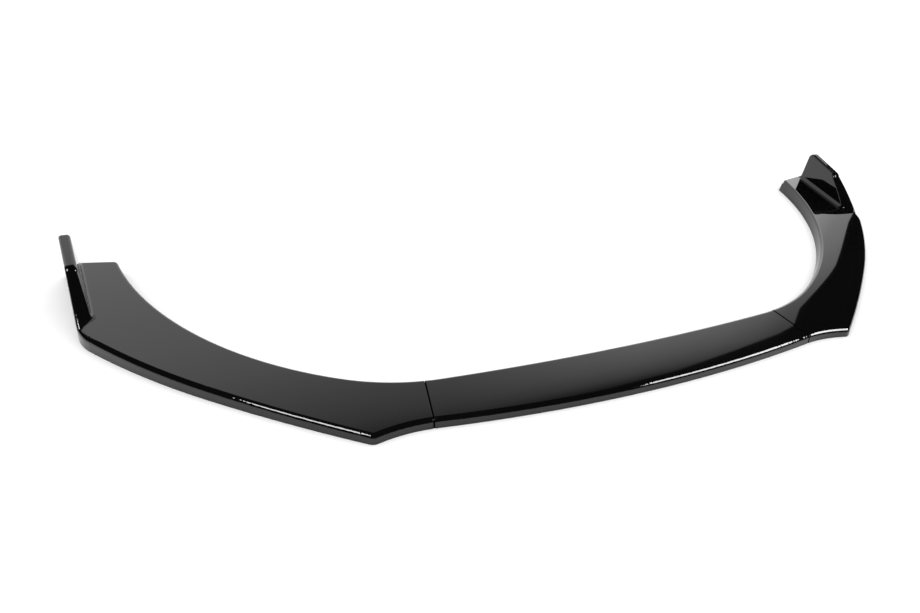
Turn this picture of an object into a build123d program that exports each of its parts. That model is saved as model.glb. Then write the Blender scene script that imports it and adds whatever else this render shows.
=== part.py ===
from build123d import *
import os
from math import asin, atan2, cos, degrees, hypot, radians, sin, tan

# Front splitter lip: a centre section and two handed wings, moulded shells open underneath.
# X is across the car, the leading edge faces -Y, Z is up, the lower rim lies on Z = 0.

# Overall
overall_depth = 585.2
front_y = -overall_depth / 2
rear_y = overall_depth / 2
draft_angle = 7.0
wall = 4.0
fin_edge_wall = 9.0
centre_overlap = 40.0
pick_slack = 2.0

# Leading edge in plan, headings measured from +X towards +Y
centre_front_radius = 2623.0
bow_end_x = 345.0
bow_heading = degrees(asin(bow_end_x / centre_front_radius))
hollow_radius = 256.7
hollow_heading = -12.5
nose_radius = 14.5
nose_heading = 34.0
flank_heading = 39.1
haunch_radius = 1331.0
haunch_heading = 49.1
heel_radius = 98.0
heel_heading = 78.2
tail_run = 203.1
heel_end_y = rear_y - tail_run
tail_overrun = 40.0

# Trailing edge in plan
centre_chord = 97.0
back_y = front_y + centre_chord
centre_back_radius = 4576.0
back_end_inset = 33.0
back_end_x = bow_end_x - back_end_inset
back_heading = degrees(asin(back_end_x / centre_back_radius))
shoulder_radius = 365.0
shoulder_heading = 28.2
shelf_width = 60.1

# Rear end of each wing
rear_edge_setback = 6.6
rear_edge_y = rear_y - rear_edge_setback
rear_heading = 11.0
rear_corner_radius = 10.0

# Top skin, a plane that rises slightly to the rear
front_height = 15.0
pitch_angle = 1.45
rim_radius = 8.0
inner_rim_radius = 4.5

# Fin on the outer rear edge of each wing, seen from the side
heel_clearance = 14.5
fin_foot_y = heel_end_y + heel_clearance
fin_sweep_ratio = 2.0
fin_lead_ratio = 0.4
fin_margin = 20.0
fin_break_setback = 119.6
fin_break_y = rear_y - fin_break_setback
fin_break_z = 84.5
fin_tip_setback = 15.6
fin_tip_y = rear_y - fin_tip_setback
fin_tip_z = 98.5
fin_heel_setback = 12.6
fin_heel_y = rear_y - fin_heel_setback
fin_break_radius = 22.0
fin_tip_radius = 12.0
fin_edge_radius = 5.5
fin_sink = 10.0
fin_root_radius = 7.0
fin_front_thickness = 27.9
fin_rear_thickness = 30.6

# Seam between centre section and wing
seam_front_offset = 5.7
seam_front_rise = 23.5
seam_back_offset = 5.8
seam_front_x = bow_end_x + seam_front_offset
seam_front_y = front_y + seam_front_rise
seam_back_x = bow_end_x - seam_back_offset
seam_back_rise = 86.0
seam_gap = 0.8
seam_edge_radius = 1.5

# Joint web of the centre section, a tongue that reaches under each wing
web_reach = 30.0
web_root = 42.0
web_thickness = 3.0
web_bottom_z = 5.0
web_top_z = web_bottom_z + web_thickness
tongue_inset = 10.0

# Screw bosses in the wing
boss_diameter = 10.0
boss_setback = 16.0
boss_front_offset = 26.0
boss_spacing = 34.0
boss_sink = 1.5

# Screws and washers
screw_diameter = 3.9
screw_length = 7.5
thread_clearance = 0.05
web_hole_clearance = 0.4
pilot_spare = 0.6
head_diameter = 7.5
head_height = 2.4
head_round = 1.2
tip_chamfer = 0.8
washer_diameter = 11.0
washer_thickness = 1.0
washer_clearance = 0.2

washer_bottom_z = web_bottom_z - washer_thickness
screw_top_z = washer_bottom_z + screw_length
pilot_top_z = screw_top_z + pilot_spare


def turn_rise(radius, start, end):
    """Distance along Y covered by an arc that turns from one heading to another."""
    rise = radius * (cos(radians(start)) - cos(radians(end)))
    return rise if end > start else -rise


def centre_arc(radius, crown_y, end_heading):
    """Arc across the centre line, from the overlap on the left to the given heading."""
    lead = asin(centre_overlap / radius)
    start = (-centre_overlap, crown_y + radius * (1 - cos(lead)))
    return JernArc(start, (cos(lead), -sin(lead)), radius, end_heading + degrees(lead))


# The flank takes up the depth that the other arcs of the leading edge leave
other_rises = (
    turn_rise(centre_front_radius, 0, bow_heading)
    + turn_rise(hollow_radius, bow_heading, hollow_heading)
    + turn_rise(nose_radius, hollow_heading, nose_heading)
    + turn_rise(haunch_radius, flank_heading, haunch_heading)
    + turn_rise(heel_radius, haunch_heading, heel_heading)
)
flank_radius = (heel_end_y - front_y - other_rises) / turn_rise(1, nose_heading, flank_heading)

with BuildLine() as leading_edge:
    bow = centre_arc(centre_front_radius, front_y, bow_heading)
    hollow = JernArc(bow @ 1, bow % 1, hollow_radius, hollow_heading - bow_heading)
    nose = JernArc(hollow @ 1, hollow % 1, nose_radius, nose_heading - hollow_heading)
    flank = JernArc(nose @ 1, nose % 1, flank_radius, flank_heading - nose_heading)
    haunch = JernArc(flank @ 1, flank % 1, haunch_radius, haunch_heading - flank_heading)
    heel = JernArc(haunch @ 1, haunch % 1, heel_radius, heel_heading - haunch_heading)
    tail_length = (tail_run + tail_overrun) / sin(radians(heel_heading))
    tail = Line(heel @ 1, heel @ 1 + tail_length * (heel % 1))

def tail_x(y):
    """Distance of the straight end of the leading edge from the centre line."""
    return (heel @ 1).X + (y - heel_end_y) / tan(radians(heel_heading))


fin_face_front_x = tail_x(fin_foot_y) - fin_front_thickness
fin_face_rear_x = tail_x(fin_tip_y) - fin_rear_thickness

# The bay is the arc that leaves the shelf its width beside the fin at the rear
with BuildLine() as trailing_edge:
    back = centre_arc(centre_back_radius, back_y, back_heading)
    shoulder = JernArc(back @ 1, back % 1, shoulder_radius, shoulder_heading - back_heading)
    bay_reach_x = fin_face_rear_x - shelf_width - (shoulder @ 1).X
    bay_reach_y = rear_edge_y - (shoulder @ 1).Y
    bay_turn = 2 * (degrees(atan2(bay_reach_y, bay_reach_x)) - shoulder_heading)
    bay_radius = hypot(bay_reach_x, bay_reach_y) / (2 * sin(radians(bay_turn / 2)))
    bay = JernArc(shoulder @ 1, shoulder % 1, bay_radius, bay_turn)
    bay_end = Line(bay @ 1, bay @ 1 + tail_overrun * (bay % 1))

rear_plane = Plane(
    origin=(fin_face_rear_x, rear_edge_y, 0),
    x_dir=(cos(radians(rear_heading)), sin(radians(rear_heading)), 0),
    z_dir=(-sin(radians(rear_heading)), cos(radians(rear_heading)), 0),
)
fin_plane = Plane(
    origin=(fin_face_front_x, fin_foot_y, 0),
    x_dir=(fin_face_rear_x - fin_face_front_x, fin_tip_y - fin_foot_y, 0),
    z_dir=(fin_tip_y - fin_foot_y, fin_face_front_x - fin_face_rear_x, 0),
)
seam_plane = Plane(
    origin=(seam_front_x, seam_front_y, 0),
    x_dir=(seam_back_x - seam_front_x, seam_back_rise, 0),
    z_dir=(seam_back_rise, seam_front_x - seam_back_x, 0),
)
boss_points = [
    seam_plane.origin + seam_plane.x_dir * along + seam_plane.z_dir * boss_setback
    for along in (boss_front_offset, boss_front_offset + boss_spacing)
]


def top_z(y):
    """Height of the top skin at a distance y along the car."""
    return front_height + tan(radians(pitch_angle)) * (y - front_y)


def half_plan(inset, level=0.0):
    """Plan of the right half of the lip at a level, shrunk by inset."""
    with BuildSketch(Plane.XY.offset(level)) as plan:
        with BuildLine():
            add(leading_edge.line)
            add(trailing_edge.line)
            Line(bay_end @ 1, tail @ 1)
            Line(bow @ 0, back @ 0)
        make_face()
        if inset:
            offset(amount=-inset)
    return plan.sketch


def fin_side(x, inset):
    """Side view of the fin at a distance x from the centre line; its foot runs forward outwards."""
    foot_y = fin_foot_y - fin_sweep_ratio * (x - fin_face_front_x)
    foot_z = top_z(foot_y)
    with BuildSketch(Plane.YZ.offset(x)) as side:
        with BuildLine():
            lead_y = fin_lead_ratio * (fin_break_y - foot_y)
            lead_z = fin_lead_ratio * (fin_break_z - foot_z)
            Polyline(
                (foot_y - lead_y, foot_z - lead_z),
                (fin_break_y, fin_break_z),
                (fin_tip_y, fin_tip_z),
                (fin_heel_y, 0),
                close=True,
            )
        make_face()
        fillet(side.vertices().sort_by(Axis.Y)[-1], radius=fin_tip_radius)
        fillet(side.vertices().sort_by(Axis.Y)[-3], radius=fin_break_radius)
        if inset:
            offset(amount=-inset)
    return side.sketch


def fin_prism(inset, edge_inset):
    """Body of the fin before its outer wall is cut, on the outer side of its inner face."""
    inner_side = fin_side(fin_face_front_x - fin_margin, edge_inset)
    outer_side = fin_side(fin_face_rear_x + 2 * fin_margin, edge_inset)
    with BuildPart() as prism:
        add(inner_side)
        add(outer_side)
        loft(ruled=True)
        split(bisect_by=fin_plane.offset(inset), keep=Keep.TOP)
    return prism.part


def cut_away(inset, edge_inset, sink):
    """Everything above the top skin and outside the fin, shrunk by the insets, the skin also sunk."""
    prism = fin_prism(inset, edge_inset)
    ahead_y = front_y - tail_overrun
    behind_y = rear_y + overall_depth
    with BuildPart() as region:
        with BuildSketch(Plane.YZ.offset(-2 * centre_overlap)):
            with BuildLine():
                Polyline(
                    (ahead_y, top_z(ahead_y) - inset - sink),
                    (behind_y, top_z(behind_y) - inset - sink),
                    (behind_y, 2 * fin_tip_z),
                    (ahead_y, 2 * fin_tip_z),
                    close=True,
                )
            make_face()
        extrude(amount=2 * overall_depth)
        add(prism, mode=Mode.SUBTRACT)
    return region.part


def rim_edges(walls, low):
    """Upper boundary of a chain of wall faces."""
    edges = [edge for face in walls for edge in face.edges() if edge.bounding_box().min.Z > low]
    return [edge for edge in edges if sum(edge == other for other in edges) == 1]


def half_blank(inset, edge_inset, sink):
    """Solid of the right half with sharp edges, shrunk by the insets, its skin sunk beside the fin."""
    plan = half_plan(inset)
    waste = cut_away(inset, edge_inset, sink)
    with BuildPart() as half:
        add(plan)
        extrude(amount=fin_tip_z, taper=draft_angle)
        add(waste, mode=Mode.SUBTRACT)
        split(bisect_by=rear_plane.offset(-inset), keep=Keep.BOTTOM)
    return half.part


def drafted_walls(part):
    """Side walls that lean in by the draft angle."""
    return [face for face in part.faces() if abs(face.normal_at().Z - sin(radians(draft_angle))) < 1e-3]


def plan_band(inset, near, far):
    """Slab of the joint web between two distances from the seam."""
    plan = half_plan(inset, web_bottom_z)
    with BuildPart() as band:
        add(plan)
        extrude(amount=web_thickness)
        split(bisect_by=seam_plane.offset(near), keep=Keep.TOP)
        split(bisect_by=seam_plane.offset(far), keep=Keep.BOTTOM)
    return band.part


def leading_walls(part):
    """Drafted walls along the leading edge."""
    return [face for face in drafted_walls(part) if face.normal_at().X > face.normal_at().Y]


def ridge_edges(part):
    """Upper edges of the inner face of the fin."""
    fin_face = part.faces().filter_by(fin_plane).sort_by(Axis.X)[-1]
    return [edge for edge in fin_face.edges() if edge.center().Z > top_z(edge.center().Y) + pick_slack]


def seam_distance(face):
    """Distance of a face from the seam plane."""
    return abs((face.center() - seam_plane.origin).dot(seam_plane.z_dir))


def seam_edges(part):
    """Edges round the cut at the seam, apart from the one on the floor."""
    cut = min(part.faces().filter_by(seam_plane), key=seam_distance)
    return [edge for edge in cut.edges() if edge.center().Z > pick_slack]


outer_half = half_blank(0, 0, 0)
fin_half = half_blank(0, 0, fin_sink)
hollow_half = half_blank(wall, fin_edge_wall, 0)

# Fin with its own edges, standing in a sunk skin
with BuildPart() as edged_fin:
    add(fin_half)
    fin_rims = rim_edges(leading_walls(edged_fin), 0)
    outer_edges = [edge for edge in fin_rims if edge.center().Z > top_z(edge.center().Y) + pick_slack]
    fillet(ridge_edges(edged_fin) + outer_edges, radius=fin_edge_radius)

# Right half with its rounded edges, before it is hollowed
with BuildPart() as half_solid:
    add(outer_half)

    # Ridge of the fin on its inner side
    fillet(ridge_edges(half_solid), radius=fin_edge_radius)

    # Root of the fin
    skin_rise = cos(radians(pitch_angle))
    planes = half_solid.faces().filter_by(GeomType.PLANE)
    skins = [face for face in planes if abs(face.normal_at().Z - skin_rise) < 1e-4]
    root = [
        edge
        for edge in skins[0].edges()
        if fin_foot_y - pick_slack < edge.center().Y < fin_heel_y + pick_slack
        and (edge.center() - fin_plane.origin).dot(fin_plane.z_dir) > -pick_slack
        and edge.center().X < fin_face_rear_x + fin_margin
    ]
    fillet(root, radius=fin_root_radius)

    # Inner rear corner
    corner = [
        edge
        for edge in half_solid.edges()
        if edge.bounding_box().size.Z > front_height
        and edge.center().Y > fin_break_y
        and edge.bounding_box().max.Z < fin_break_z / 2
        and edge.center().X < fin_face_front_x
    ]
    fillet(corner, radius=rear_corner_radius)

    # Leading rim from the centre line over the fin to the rear end, then the trailing rim
    fillet(rim_edges(leading_walls(half_solid), front_height / 3), radius=rim_radius)
    trailing = [face for face in drafted_walls(half_solid) if face.normal_at().X < face.normal_at().Y]
    fillet(rim_edges(trailing, front_height / 3), radius=inner_rim_radius)

    # The fin with its own edges stands proud of the rim that runs over it
    add(edged_fin.part)

# Right wing with the two bosses its screws bite into
with BuildPart() as right_wing:
    add(half_solid.part)
    split(bisect_by=seam_plane.offset(seam_gap / 2), keep=Keep.TOP)
    fillet(seam_edges(right_wing), radius=seam_edge_radius)
    add(hollow_half, mode=Mode.SUBTRACT)
    for point in boss_points:
        boss_height = top_z(point.Y) - boss_sink - web_top_z
        with Locations((point.X, point.Y, web_top_z)):
            Cylinder(boss_diameter / 2, boss_height, align=(Align.CENTER, Align.CENTER, Align.MIN))
            Cylinder(
                screw_diameter / 2 + thread_clearance,
                pilot_top_z - web_top_z,
                align=(Align.CENTER, Align.CENTER, Align.MIN),
                mode=Mode.SUBTRACT,
            )
right_wing.part.label = "right_wing"

with BuildPart() as left_wing:
    mirror(right_wing.part, about=Plane.YZ)
left_wing.part.label = "left_wing"

# Centre section with its joint webs
root_band = plan_band(wall, -web_root, -seam_gap / 2)
tongue_band = plan_band(tongue_inset, -web_root, web_reach)
with BuildPart() as half_centre:
    add(half_solid.part)
    split(bisect_by=seam_plane.offset(-seam_gap / 2), keep=Keep.BOTTOM)
    fillet(seam_edges(half_centre), radius=seam_edge_radius)
    add(hollow_half, mode=Mode.SUBTRACT)
    split(bisect_by=Plane.YZ, keep=Keep.TOP)
    add(root_band)
    add(tongue_band)
    for point in boss_points:
        with Locations((point.X, point.Y, web_bottom_z)):
            Cylinder(
                screw_diameter / 2 + web_hole_clearance,
                web_thickness,
                align=(Align.CENTER, Align.CENTER, Align.MIN),
                mode=Mode.SUBTRACT,
            )

with BuildPart() as centre_section:
    add(half_centre.part)
    mirror(about=Plane.YZ)
centre_section.part.label = "centre_section"

# Pan-head tapping screws, driven from below
with BuildPart() as joint_screws:
    for point in boss_points:
        with Locations((point.X, point.Y, washer_bottom_z)):
            Cylinder(head_diameter / 2, head_height, align=(Align.CENTER, Align.CENTER, Align.MAX))
            Cylinder(screw_diameter / 2, screw_length, align=(Align.CENTER, Align.CENTER, Align.MIN))
    fillet(joint_screws.edges().group_by(Axis.Z)[0], radius=head_round)
    chamfer(joint_screws.edges().group_by(Axis.Z)[-1], length=tip_chamfer)
    mirror(about=Plane.YZ)
joint_screws.part.label = "joint_screws"

# Plain washers under the screw heads
with BuildPart() as joint_washers:
    for point in boss_points:
        with Locations((point.X, point.Y, washer_bottom_z)):
            Cylinder(washer_diameter / 2, washer_thickness, align=(Align.CENTER, Align.CENTER, Align.MIN))
            Cylinder(
                screw_diameter / 2 + washer_clearance,
                washer_thickness,
                align=(Align.CENTER, Align.CENTER, Align.MIN),
                mode=Mode.SUBTRACT,
            )
    mirror(about=Plane.YZ)
joint_washers.part.label = "joint_washers"

os.makedirs("parts", exist_ok=True)
export_step(centre_section.part, "parts/centre_section.step")
export_step(left_wing.part, "parts/left_wing.step")
export_step(right_wing.part, "parts/right_wing.step")
export_step(joint_screws.part, "parts/joint_screws.step")
export_step(joint_washers.part, "parts/joint_washers.step")
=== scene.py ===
from math import cos, radians, sin

import bpy
from mathutils import Matrix, Vector

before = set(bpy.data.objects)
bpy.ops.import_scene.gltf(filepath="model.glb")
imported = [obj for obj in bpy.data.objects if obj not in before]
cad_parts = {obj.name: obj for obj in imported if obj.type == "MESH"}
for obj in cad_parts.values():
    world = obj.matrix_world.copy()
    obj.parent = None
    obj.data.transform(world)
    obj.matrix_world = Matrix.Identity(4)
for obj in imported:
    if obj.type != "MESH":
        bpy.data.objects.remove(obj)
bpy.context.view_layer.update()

# Camera, found from the lip's outline in the photograph
LENS_MM = 24.396
SENSOR_MM = 36.0
CLIP_START = 0.01
CAMERA_PLACE = (-0.56433, -0.8581, 0.66792)
CAMERA_RIGHT = (0.93847357, -0.3409301, 0.05508192)
CAMERA_UP = (0.15717477, 0.56366653, 0.81091068)
CAMERA_BACK = (-0.3075117, -0.75236076, 0.58257175)

# Joint between the centre section and the right wing: front end, direction across it in plan,
# and the distances from it, in metres, where the polish starts and is complete. The dull band
# in the joints is partly the unpolished joint edge and partly painted shade in the seam line
SEAM_FRONT = Vector((0.3507, -0.2691, 0.0))
SEAM_NORMAL = Vector((0.99118, 0.13254, 0.0))
JOINT_SHADE_DULL = 0.0012
JOINT_SHADE_END = 0.0019

# Gloss black of the mouldings, with noise in its polish and tint
GLOSS_NOISE_SCALE = 9.0
GLOSS_NOISE_DETAIL = 3.0
GLOSS_ROUGHNESS = (0.012, 0.035)
GLOSS_TINTS = ((0.0016, 0.0016, 0.0018, 1), (0.0032, 0.0032, 0.0035, 1))
GLOSS_IOR = 1.5
GLOSS_SHINE = 0.5

# Zinc plating of the joint screws and washers
ZINC_NOISE_SCALE = 900.0
ZINC_NOISE_DETAIL = 2.0
ZINC_ROUGHNESS = (0.28, 0.42)
ZINC_TINTS = ((0.5, 0.5, 0.52, 1), (0.64, 0.64, 0.66, 1))

# Matt white floor
FLOOR_SIZE = 40.0
FLOOR_WHITE = (0.95, 0.95, 0.95, 1)
FLOOR_ROUGHNESS = 0.9

# Light of the surroundings, on the floor and as mirrored by the lip
SKY_WHITE = (1, 1, 1, 1)
SKY_STRENGTH = 1.3
SKY_MIRRORED = 0.004

# Wall behind the lip, lower on the left: its distance and its outline as x and z
WALL_DISTANCE = 10.0
WALL_TOP = 12.95
WALL_OUTLINE = (
    (-12.0, 0.0),
    (16.1, 0.0),
    (16.1, 7.9),
    (16.42, 8.9),
    (16.56, 9.5),
    (16.5, 9.9),
    (16.3, 10.4),
    (15.95, 11.1),
    (16.1, 11.85),
    (15.6, 12.1),
    (14.05, 12.42),
    (11.8, 12.8),
    (9.0, WALL_TOP),
    (-4.4, WALL_TOP),
    (-4.4, 11.0),
    (-8.5, 11.0),
    (-12.0, 7.0),
)
# Brightness of the wall by height, and the factor on it from left to right
WALL_PEAK = 1.4
WALL_RISE = (
    (0, 1.33),
    (8.5, 1.33),
    (9.5, 1.22),
    (10.5, 0.98),
    (11.5, 0.74),
    (12.0, 0.58),
    (12.5, 0.35),
    (WALL_TOP, 0.03),
)
RUN_PEAK = 2.0
WALL_RUN = (
    (-12, 1.0),
    (2, 1.0),
    (4, 1.1),
    (6, 1.45),
    (8, 1.8),
    (10, 2.0),
    (13, 1.7),
    (14.5, 1.3),
    (15.5, 0.9),
    (16.5, 0.75),
)
# Black card before the wall, which darkens the mirror image beside the right fin
CARD_DISTANCE = 9.9
CARD_OUTLINE = ((-6.3, 4.2), (-4.6, 4.2), (-4.6, 5.5), (-6.3, 5.5))

# Lit strips that draw the white lines on the front rim: the point of the lip that each one
# faces, and the azimuth and elevation of its corners from there
STRIP_DISTANCE = 4.0
STRIP_STRENGTH = 18.0
LEFT_STRIP_AIM = (-0.6, -0.18, 0)
LEFT_STRIP = ((-109, 36), (-96, 49), (-118, 64), (-134, 42))
RIGHT_STRIP_AIM = (0.25, -0.28, 0)
RIGHT_STRIP = ((146, 32), (126, 52), (97, 40), (119, 23))


def new_material(name):
    """Material with a node tree, its shader and the tree."""
    material = bpy.data.materials.new(name)
    material.use_nodes = True
    tree = material.node_tree
    return material, tree.nodes["Principled BSDF"], tree


def noise_field(tree, place, scale, detail):
    """Noise from 0 to 1 over a piece."""
    noise = tree.nodes.new("ShaderNodeTexNoise")
    noise.inputs["Scale"].default_value = scale
    noise.inputs["Detail"].default_value = detail
    tree.links.new(place, noise.inputs["Vector"])
    return noise.outputs["Fac"]


def spread(tree, field, low, high):
    """Value that goes from low to high as the field goes from 0 to 1."""
    scaled = tree.nodes.new("ShaderNodeMapRange")
    scaled.inputs["To Min"].default_value = low
    scaled.inputs["To Max"].default_value = high
    tree.links.new(field, scaled.inputs["Value"])
    return scaled.outputs["Result"]


def tinted(tree, field, first, second):
    """Colour that goes from the first to the second as the field goes from 0 to 1."""
    tint = tree.nodes.new("ShaderNodeMix")
    tint.data_type = "RGBA"
    tint.inputs["A"].default_value = first
    tint.inputs["B"].default_value = second
    tree.links.new(field, tint.inputs["Factor"])
    return tint.outputs["Result"]


def joint_dull_shade_mask(tree, place):
    """Strength of the polish: 0 in the unpolished joints between the sections, where it also
    paints the shade in the seam line, 1 elsewhere.
    """
    split = tree.nodes.new("ShaderNodeSeparateXYZ")
    tree.links.new(place, split.inputs["Vector"])
    mirrored = tree.nodes.new("ShaderNodeMath")
    mirrored.operation = "ABSOLUTE"
    tree.links.new(split.outputs["X"], mirrored.inputs[0])
    folded = tree.nodes.new("ShaderNodeCombineXYZ")
    tree.links.new(mirrored.outputs["Value"], folded.inputs["X"])
    tree.links.new(split.outputs["Y"], folded.inputs["Y"])
    across = tree.nodes.new("ShaderNodeVectorMath")
    across.operation = "DOT_PRODUCT"
    across.inputs[1].default_value = SEAM_NORMAL
    tree.links.new(folded.outputs["Vector"], across.inputs[0])
    apart = tree.nodes.new("ShaderNodeMath")
    apart.operation = "SUBTRACT"
    apart.inputs[1].default_value = SEAM_NORMAL.dot(SEAM_FRONT)
    tree.links.new(across.outputs["Value"], apart.inputs[0])
    distance = tree.nodes.new("ShaderNodeMath")
    distance.operation = "ABSOLUTE"
    tree.links.new(apart.outputs["Value"], distance.inputs[0])
    polished = tree.nodes.new("ShaderNodeMapRange")
    polished.inputs["From Min"].default_value = JOINT_SHADE_DULL
    polished.inputs["From Max"].default_value = JOINT_SHADE_END
    tree.links.new(distance.outputs["Value"], polished.inputs["Value"])
    return polished.outputs["Result"]


def gloss_black():
    """High-gloss black moulding with a faint waviness in its polish, dull in the joints, which
    also paints the shade in the seam lines.
    """
    material, shader, tree = new_material("gloss_black_moulding")
    place = tree.nodes.new("ShaderNodeTexCoord").outputs["Object"]
    blotch = noise_field(tree, place, GLOSS_NOISE_SCALE, GLOSS_NOISE_DETAIL)
    tree.links.new(spread(tree, blotch, *GLOSS_ROUGHNESS), shader.inputs["Roughness"])
    tree.links.new(tinted(tree, blotch, *GLOSS_TINTS), shader.inputs["Base Color"])
    shader.inputs["IOR"].default_value = GLOSS_IOR
    # No reflection in the joints: partly the unpolished joint edge, partly painted shade in
    # the seam line
    shine = spread(tree, joint_dull_shade_mask(tree, place), 0.0, GLOSS_SHINE)
    tree.links.new(shine, shader.inputs["Specular IOR Level"])
    return material


def zinc_steel():
    """Plated steel of the hidden joint screws and washers."""
    material, shader, tree = new_material("zinc_steel")
    place = tree.nodes.new("ShaderNodeTexCoord").outputs["Object"]
    grain = noise_field(tree, place, ZINC_NOISE_SCALE, ZINC_NOISE_DETAIL)
    tree.links.new(spread(tree, grain, *ZINC_ROUGHNESS), shader.inputs["Roughness"])
    tree.links.new(tinted(tree, grain, *ZINC_TINTS), shader.inputs["Base Color"])
    shader.inputs["Metallic"].default_value = 1.0
    return material


def glow_material(name, strength):
    """Evenly lit panel."""
    material, shader, tree = new_material(name)
    tree.nodes.remove(shader)
    glow = tree.nodes.new("ShaderNodeEmission")
    glow.inputs["Strength"].default_value = strength
    tree.links.new(glow.outputs["Emission"], tree.nodes["Material Output"].inputs["Surface"])
    return material


def ramp_along(tree, coordinate, levels, peak):
    """Brightness that follows the given levels along one coordinate of a panel."""
    first, last = levels[0][0], levels[-1][0]
    share = tree.nodes.new("ShaderNodeMapRange")
    share.inputs["From Min"].default_value = first
    share.inputs["From Max"].default_value = last
    tree.links.new(coordinate, share.inputs["Value"])
    ramp = tree.nodes.new("ShaderNodeValToRGB")
    tree.links.new(share.outputs["Result"], ramp.inputs["Fac"])
    stops = ramp.color_ramp.elements
    for place, _ in levels[1:-1]:
        stops.new((place - first) / (last - first))
    for stop, (_, level) in zip(stops, levels):
        stop.color = (level / peak, level / peak, level / peak, 1)
    return ramp.outputs["Color"]


def shaded_wall():
    """Lit wall, brightest low down and, higher up, towards its right."""
    material = glow_material("wall_white", WALL_PEAK * RUN_PEAK)
    tree = material.node_tree
    place = tree.nodes.new("ShaderNodeTexCoord")
    split = tree.nodes.new("ShaderNodeSeparateXYZ")
    tree.links.new(place.outputs["Object"], split.inputs["Vector"])
    product = tree.nodes.new("ShaderNodeMix")
    product.data_type = "RGBA"
    product.blend_type = "MULTIPLY"
    product.inputs["Factor"].default_value = 1.0
    rise = ramp_along(tree, split.outputs["Z"], WALL_RISE, WALL_PEAK)
    run = ramp_along(tree, split.outputs["X"], WALL_RUN, RUN_PEAK)
    tree.links.new(rise, product.inputs["A"])
    tree.links.new(run, product.inputs["B"])
    tree.links.new(product.outputs["Result"], tree.nodes["Emission"].inputs["Color"])
    return material


def panel(name, corners, material):
    """Flat stage panel, seen only in reflections."""
    mesh = bpy.data.meshes.new(name)
    mesh.from_pydata(corners, [], [tuple(range(len(corners)))])
    card = bpy.data.objects.new(name, mesh)
    bpy.context.collection.objects.link(card)
    mesh.materials.append(material)
    card.visible_camera = False
    card.visible_diffuse = False
    card.visible_shadow = False


def upright_panel(name, distance, outline, material):
    """Upright panel behind the lip, with its outline as x and z."""
    panel(name, [(x, distance, z) for x, z in outline], material)


def bearing(azimuth, elevation):
    """Direction at an azimuth from +Y towards +X and an elevation, in degrees."""
    flat = cos(radians(elevation))
    across, along = sin(radians(azimuth)), cos(radians(azimuth))
    return Vector((flat * across, flat * along, sin(radians(elevation))))


def strip(name, aim, directions, material):
    """Lit strip with its corners in the given directions, seen from a point of the lip."""
    corners = [Vector(aim) + STRIP_DISTANCE * bearing(*direction) for direction in directions]
    panel(name, corners, material)


# Finishes of the pieces
black = gloss_black()
steel = zinc_steel()
FINISHES = {
    "centre_section": black,
    "left_wing": black,
    "right_wing": black,
    "joint_screws": steel,
    "joint_washers": steel,
}
for node, finish in FINISHES.items():
    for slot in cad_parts[node].material_slots:
        slot.material = finish

# Floor
bpy.ops.mesh.primitive_plane_add(size=FLOOR_SIZE, location=(0, 0, 0))
floor = bpy.context.object
floor.name = "floor"
floor_material, floor_shader, _ = new_material("floor_white")
floor_shader.inputs["Base Color"].default_value = FLOOR_WHITE
floor_shader.inputs["Roughness"].default_value = FLOOR_ROUGHNESS
floor_shader.inputs["Specular IOR Level"].default_value = 0.0
floor.data.materials.append(floor_material)

# Studio: a dark room with a white wall behind the lip and two lit strips in front of it
upright_panel("rear_wall", WALL_DISTANCE, WALL_OUTLINE, shaded_wall())
upright_panel("dark_card", CARD_DISTANCE, CARD_OUTLINE, glow_material("card_black", 0.0))
strip_glow = glow_material("strip_white", STRIP_STRENGTH)
strip("left_strip", LEFT_STRIP_AIM, LEFT_STRIP, strip_glow)
strip("right_strip", RIGHT_STRIP_AIM, RIGHT_STRIP, strip_glow)

world = bpy.data.worlds.new("studio")
world.use_nodes = True
bpy.context.scene.world = world
sky_tree = world.node_tree
sky = sky_tree.nodes["Background"]
sky.inputs["Color"].default_value = SKY_WHITE
in_mirror = sky_tree.nodes.new("ShaderNodeLightPath").outputs["Is Glossy Ray"]
sky_level = spread(sky_tree, in_mirror, SKY_STRENGTH, SKY_MIRRORED)
sky_tree.links.new(sky_level, sky.inputs["Strength"])

# Camera
camera = bpy.data.objects.new("camera", bpy.data.cameras.new("camera"))
bpy.context.collection.objects.link(camera)
camera.data.sensor_width = SENSOR_MM
camera.data.lens = LENS_MM
camera.data.clip_start = CLIP_START
turn = Matrix((CAMERA_RIGHT, CAMERA_UP, CAMERA_BACK)).transposed()
camera.matrix_world = Matrix.Translation(Vector(CAMERA_PLACE)) @ turn.to_4x4()
bpy.context.scene.camera = camera
bpy.context.scene.view_settings.view_transform = "Standard"
